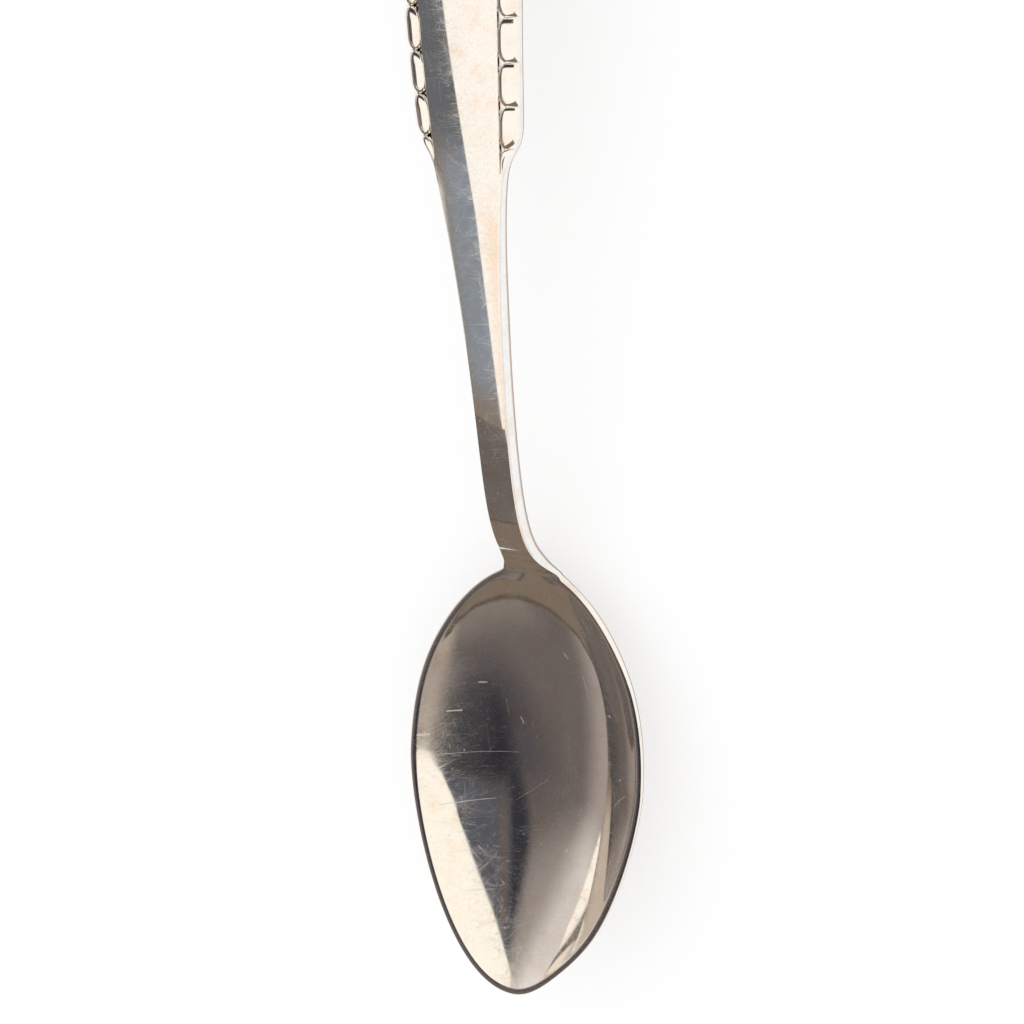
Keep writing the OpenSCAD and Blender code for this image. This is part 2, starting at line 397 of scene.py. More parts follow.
@dataclass
class Outline:
    """The right half of the spoon's outline, from the tip round to the middle of the handle's end."""

    form: SpoonForm
    fine: float = 0.02
    tip_stretch: float = 3.0
    tip_count: int = 240
    tip_power: int = 3
    arc_count: int = 240
    turn_lead: float = 1.0

    def __post_init__(self) -> None:
        """Draws the outline finely and measures along it."""
        f = self.form
        tip = self.tip_stretch * np.linspace(0, 1, self.tip_count) ** self.tip_power
        side = np.arange(self.tip_stretch + self.fine, f.end_centre, self.fine)
        angle = np.linspace(0, math.pi / 2, self.arc_count)
        y = np.concatenate([tip, side])
        self.x = np.concatenate([f.half_width(y), f.end_radius * np.cos(angle)])
        self.y = np.concatenate([y, f.end_centre + f.end_radius * np.sin(angle)])
        step = np.hypot(np.diff(self.x), np.diff(self.y))
        self.s = np.concatenate([[0], np.cumsum(step)])
        tx = np.gradient(self.x, self.s)
        ty = np.gradient(self.y, self.s)
        size = np.hypot(tx, ty)
        self.inward = np.stack([-ty / size, tx / size], 1)
        self.inward[0] = (0, 1)

    def length_at(self, y: float) -> float:
        """Distance along the outline to a place on the spoon's side."""
        return float(np.interp(y, self.y[: -self.arc_count], self.s[: -self.arc_count]))

    def stations(self, start: float, end: float, step: float) -> tuple[np.ndarray, np.ndarray]:
        """Places along the outline and the level directions that lead in from them.

        Args:
            start: distance along the outline of the first station.
            end: distance along the outline of the last station.
            step: greatest distance between stations.

        Returns:
            The places and the inward directions, a row for each station.
        """
        s = np.linspace(start, end, int(math.ceil((end - start) / step)) + 1)
        place = np.stack([np.interp(s, self.s, self.x), np.interp(s, self.s, self.y)], 1)
        normal = np.stack([np.interp(s, self.s, self.inward[:, k]) for k in (0, 1)], 1)
        f = self.form
        across = np.broadcast_to(np.array([-1.0, 0.0]), normal.shape)
        run = self.turn_lead + f.shank.neck_seam
        shank = smooth((place[:, 1] - f.bowl.length + self.turn_lead) / run)[:, None]
        way = mix(normal, across, shank)
        round_end = place[:, 1] > f.end_centre
        way[round_end] = normal[round_end]
        return place, way / np.linalg.norm(way, axis=1, keepdims=True)


@dataclass
class PieceMesh:
    """Turns rings of points into a closed, smooth Blender mesh."""

    name: str
    form: SpoonForm
    crease: float = 60.0
    weld: float = 1e-7
    least_edge: float = 1e-8

    def build(
        self, rings: np.ndarray, cap_first: bool, cap_last: bool, reflection_line: np.ndarray | None = None
    ) -> bpy.types.Object:
        """Makes the object.

        Args:
            rings: points in millimetres from the tip, one closed ring for each row.
            cap_first: whether the first ring is closed by a flat cap.
            cap_last: whether the last ring is closed by a flat cap.
            reflection_line: strength of the painted dark reflection line at each point of a ring, or none for a piece
                without it.

        Returns:
            The new object, linked to the scene.
        """
        n, m, _ = rings.shape
        points = rings.reshape(-1, 3).copy()
        points[:, 1] -= self.form.length / 2
        here = np.arange(m)
        after = (here + 1) % m
        faces = []
        for i in range(n - 1):
            low, high = i * m, (i + 1) * m
            faces += np.stack([low + here, high + here, high + after, low + after], 1).tolist()
        if cap_first:
            faces.append(here.tolist())
        if cap_last:
            faces.append(((n - 1) * m + here[::-1]).tolist())
        data = bpy.data.meshes.new(self.name)
        data.from_pydata((points * MM).tolist(), [], faces)
        # Painted reflection: the strength of a painted dark reflection line, kept on each point for the material.
        reflection_lines = data.attributes.new("painted_edge_reflection", "FLOAT", "POINT")
        reflection_lines.data.foreach_set("value", np.tile(np.zeros(m) if reflection_line is None else reflection_line, n))
        mesh = bmesh.new()
        mesh.from_mesh(data)
        bmesh.ops.remove_doubles(mesh, verts=mesh.verts, dist=self.weld)
        bmesh.ops.dissolve_degenerate(mesh, edges=mesh.edges, dist=self.least_edge)
        bmesh.ops.recalc_face_normals(mesh, faces=mesh.faces)
        limit = math.radians(self.crease)
        for face in mesh.faces:
            face.smooth = True
        for edge in mesh.edges:
            edge.smooth = len(edge.link_faces) == 2 and edge.calc_face_angle() < limit
        mesh.to_mesh(data)
        mesh.free()
        piece = bpy.data.objects.new(self.name, data)
        bpy.context.scene.collection.objects.link(piece)
        LOG.info("%s has %d faces", self.name, len(data.polygons))
        return piece


@dataclass
class EdgedPiece:
    """A stretch of the spoon whose edge is rounded all along the outline."""

    form: SpoonForm
    outline: Outline
    step: float = 0.25
    reach: float = 0.8
    bowl_round: float = 0.5
    stem_round: float = 0.14
    border_round: float = 0.03
    bowl_fall: float = 0.24
    foot_round: float = 0.3
    rows_across: int = 21
    wall_steps: int = 4
    round_steps: int = 7
    inner_steps: int = 11
    low_steps: int = 6
    # Painted dark reflection line along the side walls: how many points of the foot's bend carry it, and its strength
    # at the crest.
    foot_reflection_steps: int = 3
    crest_reflection: float = 0.35
    far: float = 1000.0

    def top(self, x: np.ndarray, y: np.ndarray, at: np.ndarray, d: np.ndarray) -> np.ndarray:
        """Height of the upper side at points that lie d inside a station's place on the outline."""
        return self.form.crowned(x, y)

    def edge_round(self, y: np.ndarray) -> np.ndarray:
        """Finds the radius of the upper edge.

        Args:
            y: distance from the tip.

        Returns:
            The radius.
        """
        f = self.form
        neck, _ = f.shares(y, f.heel_blend)
        return mix(mix(self.bowl_round, self.stem_round, neck), self.border_round, f.opened(y))

    def offsets(self, y: np.ndarray) -> np.ndarray:
        """Spaces the rows in which the upper side is drawn near the edge.

        Args:
            y: distance of each station from the tip.

        Returns:
            Distances from the outline, from the outline inwards.
        """
        r = self.edge_round(y)
        arc = r * (1 - np.cos(np.linspace(0, math.pi / 2, self.round_steps)))
        return np.concatenate([arc, r + (self.reach - r) * np.linspace(0, 1, self.inner_steps + 1)[1:]], 1)

    def edge_drop(self, y: np.ndarray, d: np.ndarray) -> np.ndarray:
        """Finds how far the rounded upper edge falls below the face.

        Args:
            y: distance from the tip.
            d: distance inside the outline.

        Returns:
            The fall.
        """
        f = self.form
        r = self.edge_round(y)
        neck, _ = f.shares(y, f.heel_blend)
        fall = mix(self.bowl_fall / self.bowl_round, 1, neck) * r
        gone = np.clip(1 - d / r, 0, 1)
        return fall * (1 - np.sqrt(1 - gone * gone))

    def painted_edge_reflection(self) -> np.ndarray:
        """Spreads a painted dark reflection line, which runs along the two edges of the side walls.

        Returns:
            The strength of the painted reflection line at each point of a ring.
        """
        top = np.zeros(self.round_steps + self.inner_steps)
        top[-1], top[-2] = self.crest_reflection, self.crest_reflection / 2
        wall = np.zeros(self.wall_steps + 1)
        wall[-1] = 1
        bend = np.zeros(self.round_steps - 1)
        bend[: self.foot_reflection_steps] = 1
        right = np.concatenate([top, wall, bend, np.zeros(self.low_steps)])
        middle = np.zeros(self.rows_across - 2)
        return np.concatenate([right[::-1], middle, right, middle])

    def strip(self, place: np.ndarray, way: np.ndarray, d: np.ndarray) -> tuple[np.ndarray, np.ndarray]:
        """Places that lie d inside the outline."""
        return np.maximum(0, place[:, :1] + way[:, :1] * d), place[:, 1:] + way[:, 1:] * d

    def rings(self, start: float, end: float) -> np.ndarray:
        """Rings of the stretch between two distances along the outline.

        Args:
            start: distance along the outline where the piece begins.
            end: distance along the outline where it ends.

        Returns:
            An array of rings, each running once round a section.
        """
        f = self.form
        place, way = self.outline.stations(start, end, self.step)
        out_x, out_y = place[:, :1], place[:, 1:]
        d = self.offsets(out_y)
        x, y = self.strip(place, way, d)
        top = np.stack([x, y, self.top(x, y, out_y, d) - self.edge_drop(out_y, d)], 2)
        foot = f.back(out_x, out_y)
        crest = top[:, :1, 2]
        lift = np.minimum(self.foot_round, (crest - foot) / 2)
        wall_z = mix(crest, foot + lift, np.linspace(0, 1, self.wall_steps + 2)[None, 1:])
        wall = np.stack([out_x + 0 * wall_z, out_y + 0 * wall_z, wall_z], 2)
        t = np.linspace(0, 1, self.round_steps)[None, 1:]
        bx, by = self.strip(place, way, self.foot_round * t * t)
        ix, iy = self.strip(place, way, np.full_like(out_x, self.foot_round))
        bz = (1 - t) ** 2 * (foot + lift) + 2 * t * (1 - t) * foot + t * t * f.back(ix, iy)
        bend = np.stack([bx, by, bz], 2)
        lx, ly = self.strip(place, way, np.linspace(self.foot_round, self.reach, self.low_steps + 1)[None, 1:])
        low = np.stack([lx, ly, f.back(lx, ly)], 2)
        right = np.concatenate([top[:, ::-1], wall, bend, low], 1)
        left = right[:, ::-1] * np.array([-1.0, 1.0, 1.0])
        c = np.sin(np.linspace(-math.pi / 2, math.pi / 2, self.rows_across))[None, 1:-1]
        rx = right[:, :1, 0] * c
        ry = right[:, :1, 1] + 0 * rx
        upper = np.stack([rx, ry, self.top(rx, ry, out_y, np.full_like(rx, self.far))], 2)
        ux = right[:, -1:, 0] * -c
        uy = right[:, -1:, 1] + 0 * ux
        under = np.stack([ux, uy, f.back(ux, uy)], 2)
        return f.worn(np.concatenate([left, upper, right, under], 1))


@dataclass
class Bowl(EdgedPiece):
    """The bowl with its rim, up to the seam in the neck."""

    lip: float = 0.12
    reach: float = 1.5
    step: float = 0.24
    rows_across: int = 71
    nose_blend_start: float = 18.0
    nose_blend_run: float = 8.0
    # A fainter painted dark reflection line along the bowl's rim.
    crest_reflection: float = 0.08
    land_step: float = 0.05
    least_width: float = 1e-3

    def __post_init__(self) -> None:
        """Finds the inner edge of the rim's land."""
        o = self.outline
        place, way = o.stations(0, o.length_at(self.form.bowl.length + self.form.heel_blend), self.land_step)
        inner = place + way * self.form.bowl.land
        self.land_y = np.maximum.accumulate(inner[:, 1])
        self.land_x = np.maximum(inner[:, 0], self.least_width)

    def inside(self, x: float, y: float) -> float:
        """Height of the dished inside over a level place, measured from the middle of the spoon."""
        along = np.array([y + self.form.length / 2])
        return float(self.top(np.array([x]), along, along, np.array([self.far]))[0])

    def top(self, x: np.ndarray, y: np.ndarray, at: np.ndarray, d: np.ndarray) -> np.ndarray:
        """Finds the height of the rim's land and of the dished inside, with a soft lip between them.

        Args:
            x: distance from the middle line.
            y: distance from the tip.
            at: not used here; distance from the tip to the station's place on the outline.
            d: how far the point lies inside that place.

        Returns:
            The height above the table.
        """
        b = self.form.bowl
        w = np.interp(y, self.land_y, self.land_x)
        nose = b.depth * (w / (b.width / 2 - b.land)) ** 2
        dish = mix(nose, b.dish(y), smooth((y - self.nose_blend_start) / self.nose_blend_run))
        inside = dish * (1 - (np.abs(x) / w) ** b.dish_power)
        outside = -dish * b.dish_power / w * (b.land - d)
        q = np.where(d < b.land, outside, inside)
        soft = self.lip * np.sqrt(np.clip(dish / b.depth, 0, 1))
        return self.form.crowned(x, y) - (q + np.sqrt(q * q + soft * soft)) / 2


@dataclass
class Stem(EdgedPiece):
    """The slim stem between the neck and the handle."""


@dataclass
class Handle(EdgedPiece):
    """The handle with its raised field and the ledge for the beads."""

    step: float = 0.24
    reach: float = 1.2
    rows_across: int = 31
    floor_steps: int = 5
    field_wall_steps: int = 8
    inside_steps: int = 4
    turn: float = 0.05
    beyond: float = 0.35
    opening_gain: float = 50.0

    def __post_init__(self) -> None:
        """Counts the rows inside the rounded edge."""
        self.inner_steps = self.floor_steps + self.field_wall_steps + self.inside_steps

    def border(self, y: np.ndarray) -> np.ndarray:
        """Finds the width of the ledge.

        Args:
            y: distance from the tip to a place on the outline.

        Returns:
            The width, with room for the rounded edge.
        """
        f = self.form
        side = f.half_width(y) - f.field_half(y)
        width = np.where(y > f.end_centre, f.bead.width, side)
        return np.maximum(width, self.edge_round(y) + 2 * self.turn)

    def offsets(self, y: np.ndarray) -> np.ndarray:
        """Spaces the rows close together at the edge and at the field's wall.

        Args:
            y: distance of each station from the tip.

        Returns:
            Distances from the outline, from the outline inwards.
        """
        r, b = self.edge_round(y), self.border(y)
        arc = r * (1 - np.cos(np.linspace(0, math.pi / 2, self.round_steps)))
        floor = r + (b - self.turn - r) * np.linspace(0, 1, self.floor_steps + 1)[None, 1:]
        wall = b + self.turn * np.linspace(-1, 1, self.field_wall_steps + 1)[None, 1:]
        inside = b + self.turn + self.beyond * np.linspace(0, 1, self.inside_steps + 1)[None, 1:]
        return np.concatenate([arc, floor, wall, inside], 1)

    def top(self, x: np.ndarray, y: np.ndarray, at: np.ndarray, d: np.ndarray) -> np.ndarray:
        """Finds the height of the field, its wall and the ledge.

        Args:
            x: distance from the middle line.
            y: distance from the tip.
            at: distance from the tip to the station's place on the outline.
            d: how far the point lies inside that place.

        Returns:
            The height above the table.
        """
        b = self.border(at)
        depth = self.form.ledge(at, np.clip(1 - d / b, 0, 1))
        gone = 1 - smooth((d - b + self.turn) / (2 * self.turn))
        return self.form.crowned(x, y) - depth * gone * np.minimum(1, self.opening_gain * self.form.opened(at))


class Side(Enum):
    """The side of the handle that a row of beads runs along."""

    LEFT = -1
    RIGHT = 1


@dataclass
class BeadedBorder:
    """The beads round the handle's edge."""

    form: SpoonForm
    along_steps: int = 44
    across_steps: int = 18
    edge_steps: int = 5

    @property
    def side(self) -> float:
        """Distance along the border from the first groove to the start of the round end."""
        return self.form.end_centre - self.form.bowl.length - self.form.bead.first_groove

    @property
    def length(self) -> float:
        """Distance along the border from the first groove to the middle of the end."""
        return self.side + self.form.end_radius * math.pi / 2

    def groove(self, number: int, lead: float) -> float:
        """Finds a groove, when each bead is longer than the one before it.

        Args:
            number: the groove's number, from nought at the first one.
            lead: how much nearer to the bowl the row starts.

        Returns:
            The distance along the border.
        """
        k = self.form.bead
        share = (k.growth**number - 1) / (k.growth ** (k.count + 0.5) - 1)
        return float(mix(-lead, self.length, share))

    def point(self, e: np.ndarray, share: np.ndarray) -> tuple[np.ndarray, np.ndarray]:
        """Finds points on the border.

        Args:
            e: distance along the border.
            share: share of the way across it, from the field outwards.

        Returns:
            The distances from the middle line and from the tip.
        """
        f, k = self.form, self.form.bead
        y = f.bowl.length + k.first_groove + np.minimum(e, self.side)
        w = f.half_width(y)
        inner = np.minimum(f.field_half(y) + k.gap, w - k.least_strip)
        angle = np.maximum(0, e - self.side) / f.end_radius
        r = mix(f.end_radius - k.width + k.gap, f.end_radius, share)
        bent = e > self.side
        px = np.where(bent, r * np.cos(angle), mix(inner, w, share))
        return px, np.where(bent, f.end_centre + r * np.sin(angle), y + 0 * px)

    def bead(self, name: str, low: float, high: float, side: Side, tapered: bool) -> bpy.types.Object:
        """Makes one bead.

        Args:
            name: name of the object.
            low: distance along the border of its lower groove.
            high: distance along the border of its upper groove.
            side: the row that it belongs to.
            tapered: whether it fades out at its lower end.

        Returns:
            The bead's object.
        """
        f, k = self.form, self.form.bead
        half = 0.5 - 0.5 * np.cos(np.linspace(0, math.pi, self.along_steps))
        along = np.sin(np.linspace(0, math.pi / 2, self.along_steps)) if tapered else half
        e = mix(low + k.gap / 2, high - k.gap / 2, along)[:, None]
        length = high - low - k.gap
        near = (1 - along) * length if tapered else np.minimum(along, 1 - along) * length
        p = np.clip(near / k.end_round, 0, 1)[:, None]
        first = k.crest_share * (1 - np.sqrt(np.maximum(0, 1 - (1 - p) ** 2)))
        body = np.linspace(0, 1, self.across_steps) ** k.body_power * (1 - k.edge_share)
        edge = 1 - k.edge_share * (1 - np.sin(np.linspace(0, math.pi / 2, self.edge_steps)[1:]))
        share = mix(first, 1, np.concatenate([body, edge])[None, :])
        q = np.clip(share / k.crest_share, 0, 1)
        out = np.minimum(1, np.sqrt((1 - p) ** 2 + (1 - q) ** 2))
        band = np.maximum(0, out - k.flat_share) / (1 - k.flat_share)
        arc = 1 - np.sqrt(1 - (band * math.sin(math.radians(k.foot_angle))) ** 2)
        fall = arc / (1 - math.cos(math.radians(k.foot_angle)))
        lift = 1 - k.dome * out * out - (1 - k.dome) * fall
        if tapered:
            lift = lift * smooth(along)[:, None]
        x, y = self.point(e, share)
        ox, oy = self.point(e, np.ones_like(e))
        ix, iy = self.point(e, np.zeros_like(e))
        seat_in = np.minimum(f.ledge(iy, 0), f.ledge(oy, 0)) - k.gap
        seat_out = np.minimum(f.ledge(iy, 1), f.ledge(oy, 1)) - k.gap
        roll = np.minimum(k.roll, seat_out - k.least_strip)
        rolled = (np.maximum(0, share - k.crest_share) / (1 - k.crest_share)) ** k.roll_power
        wide = np.hypot(ox - ix, oy - iy)
        r = np.minimum(k.edge_round, wide * k.edge_round_share)
        gone = np.clip(r - wide * (1 - share), 0, r)
        z = f.crowned(x, y) + k.height * lift - roll * rolled - (r - np.sqrt(r * r - gone * gone))
        fx, fy = self.point(e, first)
        foot_in = np.stack([fx, fy, f.crowned(fx, fy) - seat_in], 2)
        foot_out = np.stack([ox, oy, f.crowned(ox, oy) - seat_out], 2)
        rings = np.concatenate([foot_in, np.stack([x, y, z], 2), foot_out], 1)
        rings = rings * np.array([side.value, 1.0, 1.0])
        return PieceMesh(name, f).build(rings, True, True)

    def build(self) -> dict[str, bpy.types.Object]:
        """Makes all the beads.

        Returns:
            The beads' objects, by the names of the solids that they dress.
        """
        k = self.form.bead
        pieces = {}
        for side, lead in ((Side.LEFT, 0.0), (Side.RIGHT, k.right_lead)):
            row = side.name.lower()
            node = f"{row}_shoulder_bead"
            pieces[node] = self.bead(f"{node}_silver", -k.shoulder_length - lead, -lead, side, True)
            for number in range(1, k.count + 1):
                node = f"{row}_bead_{number}"
                low, high = self.groove(number - 1, lead), self.groove(number, lead)
                pieces[node] = self.bead(f"{node}_silver", low, high, side, False)
        low = self.groove(k.count, k.right_lead)
        high = 2 * self.length - self.groove(k.count, 0)
        pieces["end_bead"] = self.bead("end_bead_silver", low, high, Side.RIGHT, False)
        return pieces


def light(colour: Colour) -> Colour:
    """Turns a screen colour from 0 to 255 into the light that shows it, by the sRGB curve."""
    shares = (c / 255 for c in colour)
    return tuple(c / 12.92 if c <= 0.04045 else ((c + 0.055) / 1.055) ** 2.4 for c in shares)


@dataclass
class Nodes:
    """Adds and links shader nodes in one tree."""

    tree: bpy.types.NodeTree

    def add(self, kind: str, inputs: dict, **settings: object) -> bpy.types.Node:
        """Adds a node.

        Args:
            kind: the node's type.
            inputs: sockets or plain values, by the name or number of the input that takes them.
            settings: properties of the node.

        Returns:
            The new node.
        """
        node = self.tree.nodes.new(kind)
        for name, value in settings.items():
            setattr(node, name, value)
        for key, value in inputs.items():
            if isinstance(value, bpy.types.NodeSocket):
                self.tree.links.new(value, node.inputs[key])
            else:
                node.inputs[key].default_value = value
        return node

    def math(self, operation: str, *values: object) -> bpy.types.NodeSocket:
        """Adds a sum."""
        return self.add("ShaderNodeMath", dict(enumerate(values)), operation=operation).outputs[0]

    def vector(self, operation: str, *values: object) -> bpy.types.NodeSocket:
        """Adds a vector sum, and gives its number for a length or a dot product."""
        node = self.add("ShaderNodeVectorMath", dict(enumerate(values)), operation=operation)
        return node.outputs["Value" if operation in ("DOT_PRODUCT", "LENGTH") else "Vector"]

    def ramp(self, value: object, low: float, high: float, start: float = 0, end: float = 1) -> bpy.types.NodeSocket:
        """Eases from start to end as a value goes from low to high."""
        inputs = {"Value": value, "From Min": low, "From Max": high, "To Min": start, "To Max": end}
        return self.add("ShaderNodeMapRange", inputs, interpolation_type="SMOOTHSTEP").outputs[0]

    def blend(self, share: object, a: object, b: object) -> bpy.types.NodeSocket:
        """Blends two colours.

        Args:
            share: share of the second colour.
            a: the first colour or its socket.
            b: the second colour or its socket.

        Returns:
            The blended colour.
        """
        full = [(*c, 1) if isinstance(c, tuple) else c for c in (a, b)]
        inputs = {MIX_SHARE: share, MIX_FIRST: full[0], MIX_SECOND: full[1]}
        return self.add("ShaderNodeMix", inputs, data_type="RGBA").outputs[MIX_RESULT]

    def noise(self, place: object, scale: float, detail: float, rough: float = 0.5) -> bpy.types.NodeSocket:
        """Adds a noise from 0 to 1."""
        inputs = {"Vector": place, "Scale": scale, "Detail": detail, "Roughness": rough}
        return self.add("ShaderNodeTexNoise", inputs).outputs["Fac"]

    def join(self, x: object, y: object, z: object) -> bpy.types.NodeSocket:
        """Joins three numbers into a vector."""
        return self.add("ShaderNodeCombineXYZ", {0: x, 1: y, 2: z}).outputs[0]

    def split(self, vector: object) -> tuple[bpy.types.NodeSocket, ...]:
        """Splits a vector into its three numbers."""
        return tuple(self.add("ShaderNodeSeparateXYZ", {0: vector}).outputs)


@dataclass(frozen=True)
class Patch:
    """A soft-edged convex patch of colour, by its corners in anticlockwise order."""

    colour: "Colour | Painting"
    corners: tuple[Spot, ...]
    soft: float

    def cover(self, nodes: Nodes, place: bpy.types.NodeSocket) -> bpy.types.NodeSocket:
        """Builds the share that the patch covers.

        Args:
            nodes: the tree to build it in.
            place: the place, given as two numbers and a one.

        Returns:
            The share from 0 to 1.
        """
        share = None
        for (ax, ay), (bx, by) in zip(self.corners, self.corners[1:] + self.corners[:1]):
            size = math.hypot(bx - ax, by - ay)
            nx, ny = (ay - by) / size, (bx - ax) / size
            inside = nodes.vector("DOT_PRODUCT", place, (nx, ny, -nx * ax - ny * ay))
            edge = nodes.ramp(inside, -self.soft / 2, self.soft / 2)
            share = edge if share is None else nodes.math("MULTIPLY", share, edge)
        return share


@dataclass(frozen=True)
class Painting:
    """Patches painted over a ground colour, each over the ones before it."""

    ground: Colour
    patches: tuple[Patch, ...]

    def paint(self, nodes: Nodes, place: bpy.types.NodeSocket) -> bpy.types.NodeSocket:
        """Builds the painting's colour.

        Args:
            nodes: the tree to build it in.
            place: the place, given as two numbers and a one.

        Returns:
            The colour at that place.
        """
        colour = nodes.blend(0.0, light(self.ground), light(self.ground))
        for patch in self.patches:
            nested = isinstance(patch.colour, Painting)
            over = patch.colour.paint(nodes, place) if nested else light(patch.colour)
            colour = nodes.blend(patch.cover(nodes, place), colour, over)
        return colour


FIELD_CORNERS = (
    (-0.77, -0.2), (-0.75, -0.34), (-0.7, -0.42), (-0.6, -0.462), (-0.3, -0.477), (0.1, -0.482), (0.22, -0.455),
    (0.32, -0.385), (0.39, -0.28), (0.42, -0.15), (0.39, -0.07), (0.355, -0.002), (0.285, 0.059), (0.195, 0.115),
    (0.1, 0.153), (0.0, 0.18), (-0.2, 0.215), (-0.76, 0.3), (-0.768, 0.0),
)
FIELD_TOP_CORNERS = ((-0.76, 0.25), (-0.24, 0.2), (-0.27, 0.24), (-0.5, 0.5), (-0.76, 0.5))
FIELD_RIM_WIDER, FIELD_RIM_TALLER, FIELD_RIM_SHIFT, FIELD_RIM_COUNT = 1.018, 1.02, 0.004, 11
FIELD_RIM_CORNERS = tuple(
    (x * FIELD_RIM_WIDER - FIELD_RIM_SHIFT, y * FIELD_RIM_TALLER - FIELD_RIM_SHIFT)
    for x, y in FIELD_CORNERS[:FIELD_RIM_COUNT]
)
PALE_PATCHES = (
    Patch((228, 221, 215), ((-0.3, 0.6), (-0.6, 0.6), (-0.6, 0.19), (-0.35, 0.22)), 0.05),
    Patch((236, 219, 200), ((-0.61, 0.6), (-0.72, 0.6), (-0.72, 0.09), (-0.62, 0.13)), 0.04),
)
FIELD = Painting(
    (104, 96, 92),
    (
        Patch((160, 148, 142), ((-0.95, 0.2), (-0.95, -0.6), (-0.58, -0.6), (-0.58, 0.2)), 0.28),
        Patch((128, 118, 112), ((-0.3, -0.42), (-0.3, -0.7), (0.4, -0.7), (0.3, -0.4)), 0.14),
        Patch(
            (78, 73, 75),
            ((-0.33, 0.0), (-0.1, -0.28), (0.25, -0.32), (0.37, -0.15), (0.33, 0.08), (-0.1, 0.12)),
            0.22,
        ),
        Patch((44, 43, 49), ((-0.12, 0.03), (0.0, -0.19), (0.2, -0.23), (0.33, -0.1), (0.28, 0.03), (0.0, 0.08)), 0.13),
        Patch((174, 160, 147), ((0.2, -0.5), (0.5, -0.6), (0.5, 0.02), (0.385, -0.07)), 0.08),
        Patch((84, 85, 92), ((-0.235, 0.05), (0.3, 0.02), (0.4, 0.0), (0.2, 0.4), (-0.235, 0.4)), 0.05),
        Patch(
            (50, 50, 55),
            ((-0.235, 0.21), (-0.235, 0.11), (-0.08, 0.0), (0.02, 0.02), (-0.12, 0.13), (-0.18, 0.21)),
            0.05,
        ),
        Patch((104, 91, 79), ((-0.175, 0.19), (-0.05, 0.09), (-0.035, 0.105), (-0.16, 0.205)), 0.03),
        Patch((150, 140, 134), ((-0.235, 0.5), (-0.76, 0.5), (-0.76, 0.03), (-0.5, 0.03), (-0.235, 0.13)), 0.09),
        Patch((208, 199, 192), ((-0.25, 0.5), (-0.76, 0.5), (-0.76, 0.0), (-0.62, 0.0), (-0.27, 0.22)), 0.1),
        *PALE_PATCHES,
        Patch((254, 244, 230), ((-0.78, -0.03), (-0.75, -0.03), (-0.6, 0.12), (-0.6, 0.16), (-0.77, 0.03)), 0.014),
        Patch((120, 110, 101), ((-0.765, 0.1), (-0.765, 0.04), (-0.6, 0.18), (-0.6, 0.2)), 0.01),
    ),
)
SKY = Painting(
    (255, 247, 233),
    (
        Patch((122, 108, 95), ((-3, 0.06), (-3, -3), (0.9, -3), (0.46, -0.2), (0.44, -0.1), (-0.76, 0.06)), 0.02),
        Patch((148, 132, 116), ((-3, 0.1), (-3, -0.45), (-0.86, -0.45), (-0.84, 0.1)), 0.12),
        Patch((190, 174, 158), ((-3, 0.35), (-3, -0.1), (-0.78, -0.1), (-0.77, 0.35)), 0.1),
        Patch((92, 81, 73), FIELD_RIM_CORNERS, 0.01),
        Patch(Painting((208, 199, 192), PALE_PATCHES), FIELD_TOP_CORNERS, 0.01),
        Patch(FIELD, FIELD_CORNERS, 0.007),
    ),
)

HANDLE_STRIP = Painting(
    (132, 121, 111),
    (
        Patch((134, 141, 150), ((-31, 22), (-31, -25), (-15, -25), (-15, 22)), 7),
        Patch((100, 102, 106), ((-40, 90), (-40, 8), (-15, 8), (-15, 90)), 8),
        Patch((232, 226, 220), ((-44, 2), (-44, -22), (-33.5, -22), (-33.5, 2)), 4),
        Patch((58, 52, 48), ((-62, 120), (-62, 12), (-40, 12), (-40, 120)), 6),
    ),
)
HANDLE_CARD = Painting(
    (255, 248, 239),
    (
        Patch((252, 232, 210), ((-18, 0), (-18, -34), (10, -34), (-6, 0)), 5),
        Patch((62, 58, 58), ((-40, 82), (-40, 48), (50, 48), (50, 82)), 8),
        Patch(
            HANDLE_STRIP,
            ((-120, 120), (-120, -60), (-20, -60), (-20.7, 0), (-22.2, 10), (-25, 30), (-38, 120)),
            0.4,
        ),
    ),
)


